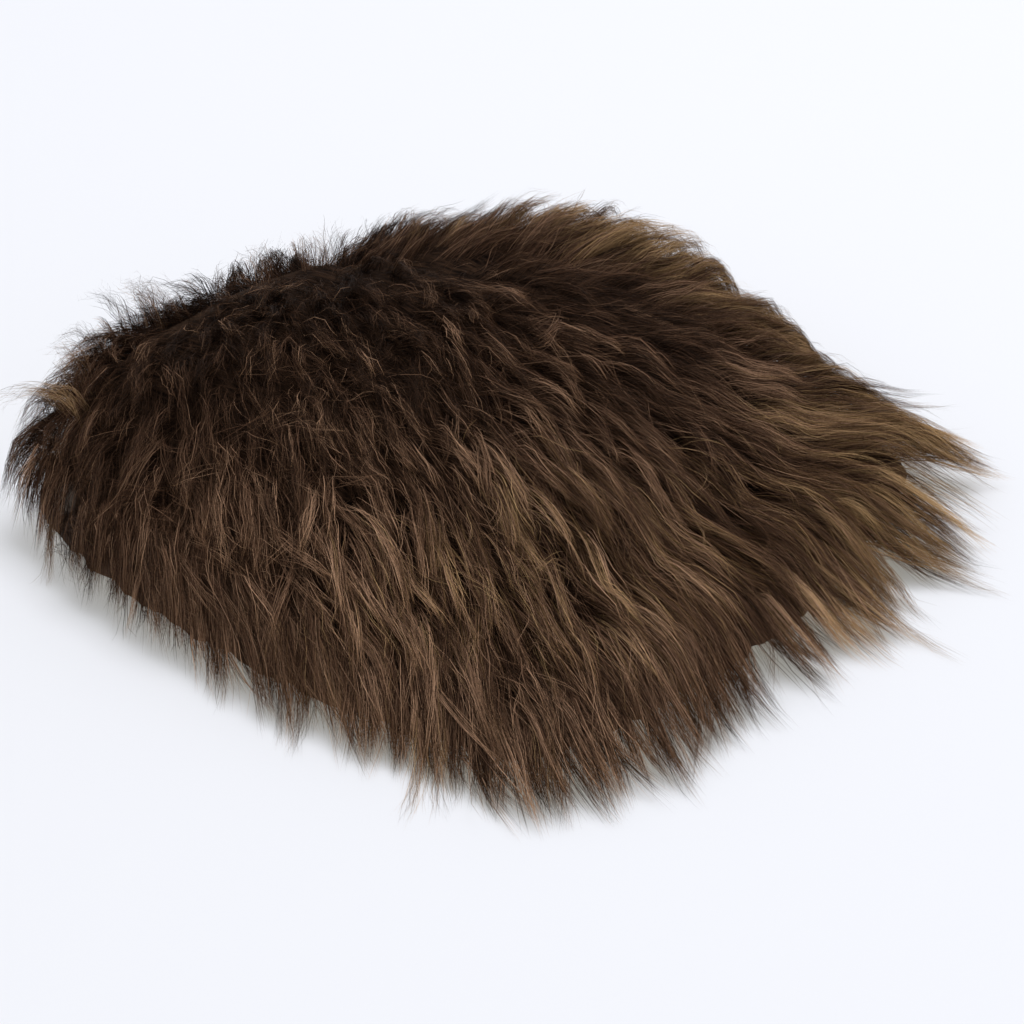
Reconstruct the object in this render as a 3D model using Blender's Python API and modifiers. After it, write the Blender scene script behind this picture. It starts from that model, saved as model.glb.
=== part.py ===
"""Long-wool sheepskin: a tanned skin dried in a low arch, and the wool slab that grows on it.

Metres, +Z up. The wool flows towards +X. The skin's root end is at -X, its tip end at +X, its
near side at -Y and its far side at +Y. Shapes and tables are in the skin's own frame, and both
objects are then placed so that the world's origin is at the middle of the whole footprint, on the
surface that the skin lies on.

A place on the skin is (along, across): along runs from 0 at the root end to 1 at the tip end,
across from 0 at the near side to 1 at the far side.
"""

import math

import bmesh
import bpy
import numpy as np
from mathutils import Vector

# Skin
SKIN_THICKNESS = 0.002
SKIN_CELLS = 28
CORNER_ROUNDING = 0.4
CORNERS = {
    "root_near": (-0.130, -0.106),
    "tip_near": (0.095, -0.118),
    "tip_far": (0.099, 0.103),
    "root_far": (-0.088, 0.131),
}
SIDE_BULGE = {"near": 0.003, "tip": 0.006, "far": 0.001, "root": 0.007}
SKIN_PLACE = (-0.0107, -0.0035, 0.0)

# Cross-sections of the arch and depth of the wool, a row for each quarter of the skin's length
SECTION_COLUMNS = (
    "crest_height",
    "crest_place",
    "near_lift",
    "far_lift",
    "near_power",
    "far_power",
    "wool_near",
    "wool_middle",
    "wool_far",
)
SECTIONS = (
    (0.041, 0.40, 0.010, 0.010, 6.0, 2.1, 0.019, 0.021, 0.015),
    (0.040, 0.46, 0.006, 0.016, 4.5, 3.8, 0.021, 0.025, 0.031),
    (0.033, 0.48, 0.003, 0.007, 3.0, 2.9, 0.021, 0.026, 0.030),
    (0.018, 0.52, 0.000, 0.001, 2.2, 2.5, 0.020, 0.026, 0.025),
    (0.000, 0.50, 0.000, 0.000, 2.0, 2.0, 0.015, 0.020, 0.025),
)
FLAT_END_STARTS = 0.86

# Wool
SKIN_GAP = 0.0010
UPRIGHT_SHARE = 0.6
RIM_SWELL = {"near": 0.003, "tip": 0.006, "far": 0.005, "root": 0.005}
SWELL_POWER = 6
RIDGE_HEIGHT = 0.0030
RIDGE_SPACING = 0.027
RIDGE_RUN = 0.075
FLOW_HEADING = math.radians(-32)

# The line where the wool parts, a row for each bend of it
PARTING = (
    # x, y, depth, half width
    (-0.135, 0.030, 0.012, 0.012),
    (-0.066, 0.042, 0.010, 0.012),
    (-0.042, 0.074, 0.007, 0.010),
    (0.000, 0.106, 0.003, 0.008),
)

# Heading of the wool in plan, in degrees from +X, a row for each patch of it
HEADING_REACH = 0.045
HEADINGS = (
    # x, y, degrees
    (-0.110, -0.100, -62),
    (-0.020, -0.115, -50),
    (0.060, -0.110, -46),
    (0.110, -0.100, -42),
    (0.100, -0.040, -34),
    (0.130, 0.000, -14),
    (0.144, 0.050, 2),
    (0.107, 0.085, 30),
    (0.020, 0.125, 30),
    (-0.075, 0.130, 68),
)

# Locks at the rim, a row for each half side from the near root corner round by the tip end
LOCK_REACH = (0.008, 0.020, 0.034, 0.039, 0.042, 0.018, 0.018, 0.012)
LOCK_FALL = 0.014
MOST_LEAN = math.radians(38)
LOCK_JITTER = math.radians(2.5)
LOCK_UNEVENNESS = 0.24
LOWER_LOCK_ENDS = 0.62
REST_STARTS = 0.3
ROW_SPLIT = 0.45
ROW_GAP = 0.0006
TIP_THICKNESS = 0.0012
LOCK_WIDTHS = ((0.0, 1.0), (0.35, 0.76), (0.7, 0.4), (1.0, 0.0))
SEED = 7


def smooth_through(values, place):
    """Reads evenly spaced values at a place from 0 to 1, along a curve through all of them."""
    last = len(values) - 1
    start = min(int(place * last), last - 1)
    t = place * last - start
    before, here, there, after = (
        values[min(max(start + step, 0), last)] for step in (-1, 0, 1, 2)
    )
    return 0.5 * (
        2 * here
        + (there - before) * t
        + (2 * before - 5 * here + 4 * there - after) * t**2
        + (3 * here - before - 3 * there + after) * t**3
    )


def section(along):
    """The arch's measures at a place along the skin, by column name."""
    return {
        name: smooth_through([row[i] for row in SECTIONS], along)
        for i, name in enumerate(SECTION_COLUMNS)
    }


def plan_point(along, across):
    """Where a place lies in plan: in a four-sided outline with bulging sides and round corners."""
    a = 2 * along - 1
    b = 2 * across - 1
    a_round = a * math.sqrt(1 - CORNER_ROUNDING * b * b / 2)
    b_round = b * math.sqrt(1 - CORNER_ROUNDING * a * a / 2)
    tip = (a_round + 1) / 2
    far = (b_round + 1) / 2
    corner_shares = {
        "root_near": (1 - tip) * (1 - far),
        "tip_near": tip * (1 - far),
        "tip_far": tip * far,
        "root_far": (1 - tip) * far,
    }
    x = sum(CORNERS[name][0] * share for name, share in corner_shares.items())
    y = sum(CORNERS[name][1] * share for name, share in corner_shares.items())
    bow_x = 1 - b_round**2
    bow_y = 1 - a_round**2
    x += bow_x * (tip * SIDE_BULGE["tip"] - (1 - tip) * SIDE_BULGE["root"])
    y += bow_y * (far * SIDE_BULGE["far"] - (1 - far) * SIDE_BULGE["near"])
    return x, y


def arch_height(along, across):
    """Height of the skin's underside: an arch that flattens to nothing at the tip end."""
    row = section(min(along / FLAT_END_STARTS, 1.0))
    crest = max(row["crest_height"], 0.0)
    place = row["crest_place"]
    if across < place:
        lift = row["near_lift"]
        slope = (place - across) / place
        power = row["near_power"]
    else:
        lift = row["far_lift"]
        slope = (across - place) / (1 - place)
        power = row["far_power"]
    lift = min(max(lift, 0.0), crest)
    return lift + (crest - lift) * (1 - slope**power)


def skin_point(along, across):
    x, y = plan_point(along, across)
    return Vector((x, y, arch_height(along, across)))


def skin_normal(along, across):
    """The way out of the skin, from the places just beside."""
    step = 0.004
    low_a, high_a = max(along - step, 0.0), min(along + step, 1.0)
    low_b, high_b = max(across - step, 0.0), min(across + step, 1.0)
    run = skin_point(high_a, across) - skin_point(low_a, across)
    rise = skin_point(along, high_b) - skin_point(along, low_b)
    return run.cross(rise).normalized()


def parting_depth(x, y):
    """Depth of the groove where the wool parts, at a point in plan."""
    point = np.array((x, y))
    deepest = 0.0
    for start, end in zip(np.array(PARTING), np.array(PARTING[1:])):
        run = (end - start)[:2]
        t = np.clip(np.dot(point - start[:2], run) / np.dot(run, run), 0, 1)
        _, _, depth, half_width = start + (end - start) * t
        away = np.linalg.norm(point - start[:2] - t * run) / half_width
        deepest = max(deepest, depth * math.exp(-(away**2)))
    return deepest


def wool_depth(along, across):
    """Depth of the wool: from the sections, with ridges along its flow and a groove at the parting."""
    row = section(along)
    place = row["crest_place"]
    if across < place:
        side, share = row["wool_near"], (place - across) / place
    else:
        side, share = row["wool_far"], (across - place) / (1 - place)
    depth = row["wool_middle"] + (side - row["wool_middle"]) * share**2
    x, y = plan_point(along, across)
    with_flow = x * math.cos(FLOW_HEADING) + y * math.sin(FLOW_HEADING)
    over_flow = y * math.cos(FLOW_HEADING) - x * math.sin(FLOW_HEADING)
    turn = 2 * math.pi
    ridges = math.sin(turn * (over_flow / RIDGE_SPACING + 0.35 * math.sin(turn * with_flow / RIDGE_RUN)))
    steps = math.sin(turn * (with_flow / RIDGE_RUN * 1.7 + over_flow / RIDGE_SPACING * 0.31))
    depth += RIDGE_HEIGHT * (0.65 * ridges + 0.45 * steps)
    return depth - parting_depth(x, y)


def rim_swell(along, across):
    """How far the top of the wool leans out over the rim."""
    out_x = RIM_SWELL["tip"] * along**SWELL_POWER - RIM_SWELL["root"] * (1 - along) ** SWELL_POWER
    out_y = RIM_SWELL["far"] * across**SWELL_POWER - RIM_SWELL["near"] * (1 - across) ** SWELL_POWER
    return Vector((out_x, out_y, 0))


def wool_heading(x, y):
    """Direction of the wool in plan, blended from the patches of it near a point."""
    total = np.zeros(2)
    for patch_x, patch_y, degrees in HEADINGS:
        away = ((x - patch_x) ** 2 + (y - patch_y) ** 2) / HEADING_REACH**2
        angle = math.radians(degrees)
        total += math.exp(-away) * np.array((math.cos(angle), math.sin(angle)))
    return math.atan2(total[1], total[0])


def grid_layer(bm, place_vertex):
    """Adds one sheet of the skin's grid, placed by a function of (along, across).

    Returns its vertices by cell corner.
    """
    made = bmesh.ops.create_grid(bm, x_segments=SKIN_CELLS, y_segments=SKIN_CELLS, size=0.5)["verts"]
    corners = {}
    for vertex in made:
        i = round((vertex.co.x + 0.5) * SKIN_CELLS)
        j = round((vertex.co.y + 0.5) * SKIN_CELLS)
        vertex.co = place_vertex(i / SKIN_CELLS, j / SKIN_CELLS)
        corners[i, j] = vertex
    return corners


def rim_corners():
    """The grid's rim, once round from the near root corner by the tip end."""
    last = SKIN_CELLS
    near = [(i, 0) for i in range(last)]
    tip = [(last, j) for j in range(last)]
    far = [(i, last) for i in range(last, 0, -1)]
    root = [(0, j) for j in range(last, 0, -1)]
    return near + tip + far + root


def lock_heading(middle, outward):
    """The wool's heading, held within the most that a lock leans from straight out of the rim."""
    straight = math.atan2(outward.y, outward.x)
    lean = wool_heading(middle.x, middle.y) - straight
    lean = math.atan2(math.sin(lean), math.cos(lean))
    return straight + min(max(lean, -MOST_LEAN), MOST_LEAN)


def lock_profile(low, high, share):
    """Heights of the rim's wool at a share of its reach: its bottom, the split in it and its top."""
    rest = max(low - LOCK_FALL, 0.0)
    bottom = rest + (low - rest) * max(0.0, 1 - share / REST_STARTS) ** 1.5
    top = rest + TIP_THICKNESS * share + (high - rest) * (1 - share) ** 1.25
    split = bottom + (top - bottom) * ROW_SPLIT * max(0.0, 1 - share / LOWER_LOCK_ENDS)
    return bottom, split, top


def add_lock(bm, root, heading, reach, upper, low, high):
    """Grows one lock from four root vertices.

    Seen from outside they are low left, low right, high right and high left.
    """
    middle = sum((vertex.co for vertex in root), Vector()) / 4
    way = Vector((math.cos(heading), math.sin(heading), 0))
    aside = Vector((-way.y, way.x, 0))
    half_width = abs((root[1].co - root[0].co).dot(aside)) / 2
    shares = (0.35, 0.7) if upper else (REST_STARTS,)
    end = 1.0 if upper else LOWER_LOCK_ENDS
    ring = list(root)
    for share in shares:
        bottom, split, top = lock_profile(low, high, share)
        if upper:
            floor = split + ROW_GAP if share < LOWER_LOCK_ENDS else bottom
            ceiling = max(top, floor + TIP_THICKNESS)
        else:
            floor = bottom
            ceiling = max(split - ROW_GAP, floor + TIP_THICKNESS / 2)
        half = half_width * np.interp(share / end, *zip(*LOCK_WIDTHS))
        centre = middle + way * reach * share
        corners = ((-half, floor), (half, floor), (half, ceiling), (-half, ceiling))
        new_ring = []
        for offset, height in corners:
            place = centre + aside * offset
            new_ring.append(bm.verts.new((place.x, place.y, height)))
        for k in range(4):
            after = (k + 1) % 4
            bm.faces.new((ring[k], ring[after], new_ring[after], new_ring[k]))
        ring = new_ring
    tip = middle + way * reach * end
    tip.z = lock_profile(low, high, end)[0]
    tip_vertex = bm.verts.new(tip)
    for k in range(4):
        bm.faces.new((ring[k], ring[(k + 1) % 4], tip_vertex))


def add_rim_locks(bm, inner, outer):
    """Closes the wool slab's rim with two rows of locks, whose roots fill the rim side by side."""
    draw = np.random.default_rng(SEED)
    rim = rim_corners()
    count = len(rim)
    split = {}
    for corner in rim:
        low, high = inner[corner].co, outer[corner].co
        split[corner] = bm.verts.new(low.lerp(high, ROW_SPLIT))
    for n, left in enumerate(rim):
        right = rim[(n + 1) % count]
        low = (inner[left].co + inner[right].co) / 2
        high = (outer[left].co + outer[right].co) / 2
        tangent = inner[right].co - inner[left].co
        outward = Vector((tangent.y, -tangent.x, 0))
        reach = smooth_through(LOCK_REACH + LOCK_REACH[:1], (n + 0.5) / count)
        heading = lock_heading(low, outward)
        for upper in (False, True):
            bottom_row = split if upper else inner
            top_row = outer if upper else split
            root = (bottom_row[left], bottom_row[right], top_row[right], top_row[left])
            uneven = 1 + LOCK_UNEVENNESS * draw.uniform(-1, 1)
            turned = heading + LOCK_JITTER * draw.uniform(-1, 1)
            add_lock(bm, root, turned, reach * uneven, upper, low.z, high.z)


def new_object(name, bm, collection, material):
    bmesh.ops.recalc_face_normals(bm, faces=bm.faces)
    mesh = bpy.data.meshes.new(name)
    bm.to_mesh(mesh)
    bm.free()
    obj = bpy.data.objects.new(name, mesh)
    obj.location = SKIN_PLACE
    collection.objects.link(obj)
    mesh.materials.append(material)
    return obj


def plain_material(name, colour, roughness):
    material = bpy.data.materials.new(name)
    material.use_nodes = True
    shader = material.node_tree.nodes["Principled BSDF"]
    shader.inputs["Base Color"].default_value = (*colour, 1.0)
    shader.inputs["Roughness"].default_value = roughness
    shader.inputs["Metallic"].default_value = 0.0
    return material


def make_hide(collection):
    """The tanned skin: the arched grid, thickened outwards from its underside."""
    bm = bmesh.new()
    grid_layer(bm, skin_point)
    hide = new_object("hide", bm, collection, plain_material("tanned_skin", (0.42, 0.36, 0.30), 0.85))
    if hide.data.polygons[0].normal.z < 0:
        hide.data.flip_normals()
    thickness = hide.modifiers.new("thickness", "SOLIDIFY")
    thickness.thickness = SKIN_THICKNESS
    thickness.offset = 1.0
    return hide


def make_fleece(collection):
    """The wool: a lumpy slab a small gap above the skin, closed at its rim by the locks."""
    bm = bmesh.new()

    def inner_place(along, across):
        lift = SKIN_THICKNESS + SKIN_GAP
        return skin_point(along, across) + skin_normal(along, across) * lift

    def outer_place(along, across):
        way = skin_normal(along, across) + Vector((0, 0, UPRIGHT_SHARE))
        place = inner_place(along, across) + way.normalized() * wool_depth(along, across)
        return place + rim_swell(along, across)

    inner = grid_layer(bm, inner_place)
    outer = grid_layer(bm, outer_place)
    add_rim_locks(bm, inner, outer)
    return new_object("fleece", bm, collection, plain_material("brown_wool", (0.045, 0.028, 0.018), 0.8))


def main():
    for obj in list(bpy.data.objects):
        bpy.data.objects.remove(obj)
    collection = bpy.data.collections.new("sheepskin")
    bpy.context.scene.collection.children.link(collection)
    make_hide(collection)
    make_fleece(collection)


main()
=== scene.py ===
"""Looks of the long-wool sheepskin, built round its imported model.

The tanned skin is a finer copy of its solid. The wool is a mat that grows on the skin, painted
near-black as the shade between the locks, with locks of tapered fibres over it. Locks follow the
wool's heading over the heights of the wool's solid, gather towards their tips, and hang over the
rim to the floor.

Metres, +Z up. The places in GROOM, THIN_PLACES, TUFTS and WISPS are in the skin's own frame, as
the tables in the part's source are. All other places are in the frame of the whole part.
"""

import math

import bmesh
import bpy
import numpy as np
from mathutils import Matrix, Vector
from mathutils.bvhtree import BVHTree


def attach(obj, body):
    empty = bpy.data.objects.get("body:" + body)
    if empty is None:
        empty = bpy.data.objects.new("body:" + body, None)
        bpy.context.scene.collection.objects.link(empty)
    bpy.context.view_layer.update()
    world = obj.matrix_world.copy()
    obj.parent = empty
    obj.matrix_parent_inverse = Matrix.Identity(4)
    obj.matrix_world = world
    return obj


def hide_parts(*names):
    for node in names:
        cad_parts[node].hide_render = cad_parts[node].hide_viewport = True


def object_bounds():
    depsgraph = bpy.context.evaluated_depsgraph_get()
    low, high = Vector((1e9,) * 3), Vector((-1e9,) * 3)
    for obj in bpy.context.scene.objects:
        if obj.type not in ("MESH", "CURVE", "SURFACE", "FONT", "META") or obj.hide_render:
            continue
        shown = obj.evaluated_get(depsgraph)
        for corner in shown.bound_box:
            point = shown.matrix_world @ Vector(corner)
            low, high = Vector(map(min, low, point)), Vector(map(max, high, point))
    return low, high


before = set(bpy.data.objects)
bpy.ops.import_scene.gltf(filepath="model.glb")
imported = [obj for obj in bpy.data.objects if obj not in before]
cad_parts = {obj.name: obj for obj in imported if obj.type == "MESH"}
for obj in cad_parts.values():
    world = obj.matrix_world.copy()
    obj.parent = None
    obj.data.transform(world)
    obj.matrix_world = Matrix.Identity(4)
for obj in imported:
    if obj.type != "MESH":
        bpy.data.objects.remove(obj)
cad_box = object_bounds()

SEED = 11
TINY = 1e-12
JUST_INSIDE = 0.001

# Skin
SKIN_PLACE = np.array((-0.0107, -0.0035))
SKIN_WELD = 0.00001
SKIN_EDGE_ANGLE = math.radians(50)
SKIN_EDGE_CREASE = 0.8

# Camera
AZIMUTH = math.radians(37)
ELEVATION = math.radians(32)
CAMERA_DISTANCE = 0.8
LENS = 80.36
SENSOR = 36.0

# Floor and light
FLOOR_SIZE = 8
FLOOR_COLOUR = (0.595, 0.613, 0.680, 1.0)
FLOOR_GLOW = (1.0, 0.96, 0.82, 1.0)
FLOOR_GLOW_STRENGTH = 0.22
SKY_COLOUR = (0.97, 0.98, 1.0, 1.0)
SKY_STRENGTH = 0.70
LIGHT_PLACE = (0.25, 0.9, 3.0)
LIGHT_SIZE = 2.0
LIGHT_POWER = 60

# Colour ramps, as places with their colours
FIBRE_COLOURS = (
    (0.0, (0.012, 0.0056, 0.0030)),
    (0.15, (0.052, 0.0265, 0.0155)),
    (0.28, (0.155, 0.085, 0.053)),
    (0.495, (0.580, 0.360, 0.235)),
    (0.505, (0.014, 0.0066, 0.0030)),
    (0.65, (0.074, 0.0380, 0.0185)),
    (0.78, (0.205, 0.123, 0.056)),
    (1.0, (0.610, 0.405, 0.215)),
)
# Along each fibre: darker towards the root, partly painted shade deep in the wool and partly the
# root's own colour, with a golden tint at the tip.
FIBRE_ROOT_SHADE_AND_TIP_TINT = (
    (0.0, (0.36, 0.32, 0.29)),
    (0.4, (0.80, 0.77, 0.74)),
    (0.8, (1.0, 0.98, 0.93)),
    (1.0, (1.0, 0.92, 0.74)),
)
# Painted shade: the mat is near-black as the shade between the locks, with streaks, and lightens to
# the wool's brown towards its rim.
MAT_SHADE_STREAKS = ((0.35, (0.004, 0.002, 0.0013)), (0.7, (0.032, 0.017, 0.010)))
MAT_EDGE = ((0.3, (0.0, 0.0, 0.0)), (1.0, (0.100, 0.062, 0.041)))
WORN_SKIN = ((0.2, (0.95, 0.84, 0.72)), (1.0, (0.0, 0.0, 0.0)))
SKIN_MOTTLE = (
    (0.3, (0.30, 0.26, 0.22)),
    (0.5, (0.44, 0.40, 0.35)),
    (0.72, (0.58, 0.54, 0.49)),
)

# Heights and rims read from the solids. A rim is searched for within RIM_FURTHEST of the origin.
RAY_HEIGHT = 0.5
FIELD_STEP = 0.002
FIELD_MARGIN = 0.03
FIELD_BLUR = 0.0026
FIELD_FILL = 2
SEEN_DEPTH = 0.0015
RIM_FURTHEST = 0.2
RIM_HALVINGS = 14

# How the wool lies, a row for each patch of it. Degrees are its heading in plan from +X, reach is
# how far the patch counts, length is the wool's, frizz is from 0 to 1, tone is added to the
# colour, lift is how far tips rise off the wool below, and grain is how much fibres differ.
# In the rows marked below, a low tone is painted shade.
GROOM_COLUMNS = ("x", "y", "degrees", "reach", "length", "frizz", "tone", "lift", "grain")
GROOM = (
    (-0.132, -0.098, -116, 0.018, 0.036, 0.8, 0.02, 0.004, 0.8),
    (-0.130, -0.070, -126, 0.020, 0.036, 0.9, -0.06, 0.006, 0.7),
    (-0.128, -0.035, -160, 0.020, 0.032, 0.9, -0.12, 0.005, 0.8),
    (-0.124, 0.010, 150, 0.020, 0.034, 0.9, -0.20, 0.007, 0.8),
    (-0.110, 0.060, 92, 0.020, 0.036, 0.8, -0.12, 0.006, 0.8),
    (-0.102, 0.115, 76, 0.020, 0.042, 0.7, -0.06, 0.003, 0.8),
    # Where these rows' tone is low, the wool is darker, partly painted shade where one looks into the
    # pile at the root end.
    (-0.104, -0.090, -62, 0.026, 0.048, 0.6, -0.25, 0.000, 0.7),
    (-0.095, -0.045, -58, 0.026, 0.044, 0.6, -0.37, 0.003, 1.1),
    (-0.088, 0.000, -48, 0.024, 0.042, 0.7, -0.34, 0.004, 1.2),
    (-0.057, -0.094, -52, 0.035, 0.058, 0.4, -0.10, 0.000, 0.7),
    (-0.055, -0.035, -37, 0.030, 0.052, 0.5, -0.28, 0.000, 1.3),
    (-0.017, -0.115, -35, 0.035, 0.060, 0.1, 0.00, 0.000, 1.0),
    (-0.020, -0.055, -37, 0.030, 0.060, 0.2, -0.02, 0.000, 1.0),
    (0.012, -0.060, -29, 0.035, 0.066, 0.1, 0.05, 0.000, 1.0),
    (0.006, -0.117, -36, 0.035, 0.062, 0.1, -0.03, 0.000, 1.0),
    (0.063, -0.112, -48, 0.030, 0.066, 0.1, -0.14, 0.000, 1.3),
    (0.111, -0.104, -28, 0.030, 0.040, 0.1, -0.08, 0.000, 1.3),
    (0.060, -0.075, -34, 0.035, 0.066, 0.1, 0.01, 0.000, 0.9),
    (0.102, -0.038, -23, 0.030, 0.063, 0.1, -0.07, 0.000, 0.5),
    (0.040, -0.005, -22, 0.035, 0.070, 0.1, 0.03, 0.000, 0.5),
    (0.085, 0.000, -22, 0.030, 0.070, 0.1, 0.00, 0.000, 0.25),
    (0.134, -0.001, -7, 0.030, 0.060, 0.1, 0.03, 0.000, 0.25),
    (0.006, 0.043, -6, 0.030, 0.066, 0.2, -0.12, 0.000, 1.0),
    (-0.050, 0.022, -20, 0.025, 0.048, 0.5, -0.17, 0.000, 1.0),
    (0.050, 0.050, -9, 0.030, 0.070, 0.1, 0.05, 0.001, 0.4),
    (0.098, 0.027, -16, 0.030, 0.070, 0.1, 0.05, 0.000, 0.2),
    (0.075, 0.076, 14, 0.030, 0.072, 0.1, 0.10, 0.000, 0.3),
    (0.107, 0.081, 27, 0.035, 0.074, 0.1, 0.18, 0.006, 0.3),
    (0.060, 0.118, 50, 0.024, 0.060, 0.1, 0.18, 0.014, 0.3),
    (0.144, 0.049, 5, 0.030, 0.072, 0.1, 0.24, 0.001, 0.3),
    (-0.005, 0.090, 52, 0.030, 0.066, 0.2, 0.12, 0.003, 0.3),
    (0.015, 0.127, 60, 0.030, 0.050, 0.2, 0.18, 0.002, 0.3),
    (-0.050, 0.095, 76, 0.028, 0.054, 0.3, 0.12, 0.006, 0.3),
    (-0.068, 0.125, 82, 0.025, 0.052, 0.4, 0.06, 0.010, 0.3),
    (-0.078, 0.062, 82, 0.018, 0.048, 0.4, 0.04, 0.005, 0.4),
    (0.118, -0.045, -25, 0.018, 0.036, 0.1, -0.06, 0.000, 0.6),
    (-0.080, -0.118, -62, 0.018, 0.029, 0.5, -0.06, 0.000, 0.8),
    # These four rows are the dark parting: their low tone is painted shade in the valley under the
    # lifted wool beside it.
    (-0.060, 0.036, -10, 0.012, 0.046, 0.4, -0.30, 0.000, 0.6),
    (-0.036, 0.052, -6, 0.012, 0.050, 0.3, -0.32, 0.000, 0.6),
    (-0.010, 0.070, -2, 0.012, 0.056, 0.2, -0.30, 0.000, 0.6),
    (0.018, 0.086, 6, 0.012, 0.060, 0.2, -0.20, 0.000, 0.6),
    (-0.050, 0.054, 68, 0.010, 0.050, 0.4, -0.14, 0.008, 0.5),
    (-0.024, 0.072, 62, 0.010, 0.054, 0.3, -0.12, 0.008, 0.5),
    (0.002, 0.090, 54, 0.010, 0.060, 0.2, -0.08, 0.006, 0.5),
)

# Thin places, where the skin or the floor shows: x, y, z, radius
THIN_PLACES = (
    (-0.0928, -0.1175, 0.030, 0.0055),
    (-0.1005, -0.1100, 0.0235, 0.006),
    (0.129, 0.096, 0.004, 0.015),
    (0.139, -0.038, 0.003, 0.012),
)
THIN_SHARE = 0.97

# Tufts that stand out of the wool's outline, a row for each. Columns are as in GROOM.
TUFT_COLUMNS = ("x", "y", "degrees", "length", "frizz", "tone", "lift", "grain")
TUFTS = (
    (-0.104, -0.117, -46, 0.034, 0.3, 0.04, 0.000, 0.7),
    (-0.097, -0.120, -34, 0.036, 0.3, 0.06, 0.000, 0.7),
    (-0.090, 0.028, 92, 0.034, 0.9, -0.08, 0.002, 0.7),
    (-0.088, 0.040, 84, 0.036, 0.5, 0.00, 0.001, 0.6),
    (-0.090, 0.050, 86, 0.040, 0.4, 0.08, 0.003, 0.5),
    (-0.083, 0.058, 82, 0.044, 0.4, 0.12, 0.005, 0.5),
    (-0.078, 0.066, 84, 0.048, 0.3, 0.16, 0.009, 0.4),
    (-0.072, 0.072, 80, 0.050, 0.3, 0.18, 0.010, 0.4),
    (-0.066, 0.080, 82, 0.054, 0.3, 0.20, 0.009, 0.4),
    (-0.058, 0.084, 76, 0.054, 0.3, 0.18, 0.010, 0.4),
    (-0.046, 0.088, 74, 0.054, 0.2, 0.20, 0.004, 0.4),
    (-0.030, 0.092, 66, 0.052, 0.2, 0.20, 0.001, 0.4),
    (-0.014, 0.096, 60, 0.052, 0.2, 0.20, 0.000, 0.4),
    (0.002, 0.098, 54, 0.052, 0.2, 0.20, 0.000, 0.4),
    (0.016, 0.100, 46, 0.054, 0.2, 0.20, 0.000, 0.4),
    (0.028, 0.118, 46, 0.048, 0.1, 0.16, 0.002, 0.4),
    (0.034, 0.117, 38, 0.058, 0.1, 0.18, 0.010, 0.4),
    (0.040, 0.112, 44, 0.064, 0.1, 0.20, 0.018, 0.4),
    (0.046, 0.116, 32, 0.066, 0.1, 0.14, 0.020, 0.4),
    (0.049, 0.113, 34, 0.066, 0.1, 0.18, 0.022, 0.4),
    (0.061, 0.110, 30, 0.062, 0.1, 0.16, 0.018, 0.4),
    (0.052, 0.110, 36, 0.066, 0.1, 0.18, 0.022, 0.4),
    (0.058, 0.113, 28, 0.064, 0.1, 0.20, 0.016, 0.4),
    (0.064, 0.106, 32, 0.062, 0.1, 0.14, 0.016, 0.4),
    (0.070, 0.110, 24, 0.060, 0.1, 0.20, 0.015, 0.4),
    (0.078, 0.106, 26, 0.060, 0.1, 0.18, 0.016, 0.4),
    (0.086, 0.100, 20, 0.056, 0.1, 0.20, 0.008, 0.4),
    (0.098, 0.060, 4, 0.056, 0.1, 0.16, 0.002, 0.4),
    (0.096, 0.056, 8, 0.058, 0.1, 0.12, 0.000, 0.4),
    (0.094, 0.050, 10, 0.060, 0.1, 0.14, 0.000, 0.4),
    (0.092, 0.042, -6, 0.060, 0.1, 0.14, 0.000, 0.4),
    (0.088, 0.036, -10, 0.060, 0.1, 0.10, 0.000, 0.4),
    (0.095, 0.036, -8, 0.058, 0.1, 0.12, 0.000, 0.4),
    (0.101, 0.064, 3, 0.056, 0.1, 0.14, 0.000, 0.4),
    (0.107, 0.044, 6, 0.068, 0.1, 0.10, 0.000, 0.4),
    (0.106, 0.038, -3, 0.068, 0.1, 0.14, 0.000, 0.4),
    (0.104, 0.032, -8, 0.068, 0.1, 0.10, 0.000, 0.4),
    (0.102, 0.026, -14, 0.068, 0.1, 0.12, 0.000, 0.4),
    (0.086, -0.104, -45, 0.046, 0.2, 0.02, 0.000, 0.9),
    (0.083, -0.104, -48, 0.046, 0.2, 0.00, 0.000, 0.9),
    (0.070, -0.106, -50, 0.047, 0.2, 0.00, 0.000, 0.9),
    (0.062, -0.110, -47, 0.052, 0.2, -0.04, 0.000, 0.9),
    (0.056, -0.110, -50, 0.056, 0.2, 0.02, 0.000, 0.9),
    (0.050, -0.111, -46, 0.056, 0.2, -0.04, 0.000, 0.9),
    (0.044, -0.111, -48, 0.052, 0.2, 0.02, 0.000, 0.9),
    (0.047, -0.112, -44, 0.055, 0.2, 0.04, 0.000, 0.9),
    (0.041, -0.112, -50, 0.050, 0.2, -0.02, 0.000, 0.9),
    (0.036, -0.110, -46, 0.048, 0.2, 0.02, 0.000, 0.9),
    (0.008, -0.110, -54, 0.054, 0.2, 0.02, 0.000, 0.9),
    (-0.006, -0.110, -56, 0.054, 0.2, 0.00, 0.000, 0.9),
)

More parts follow.
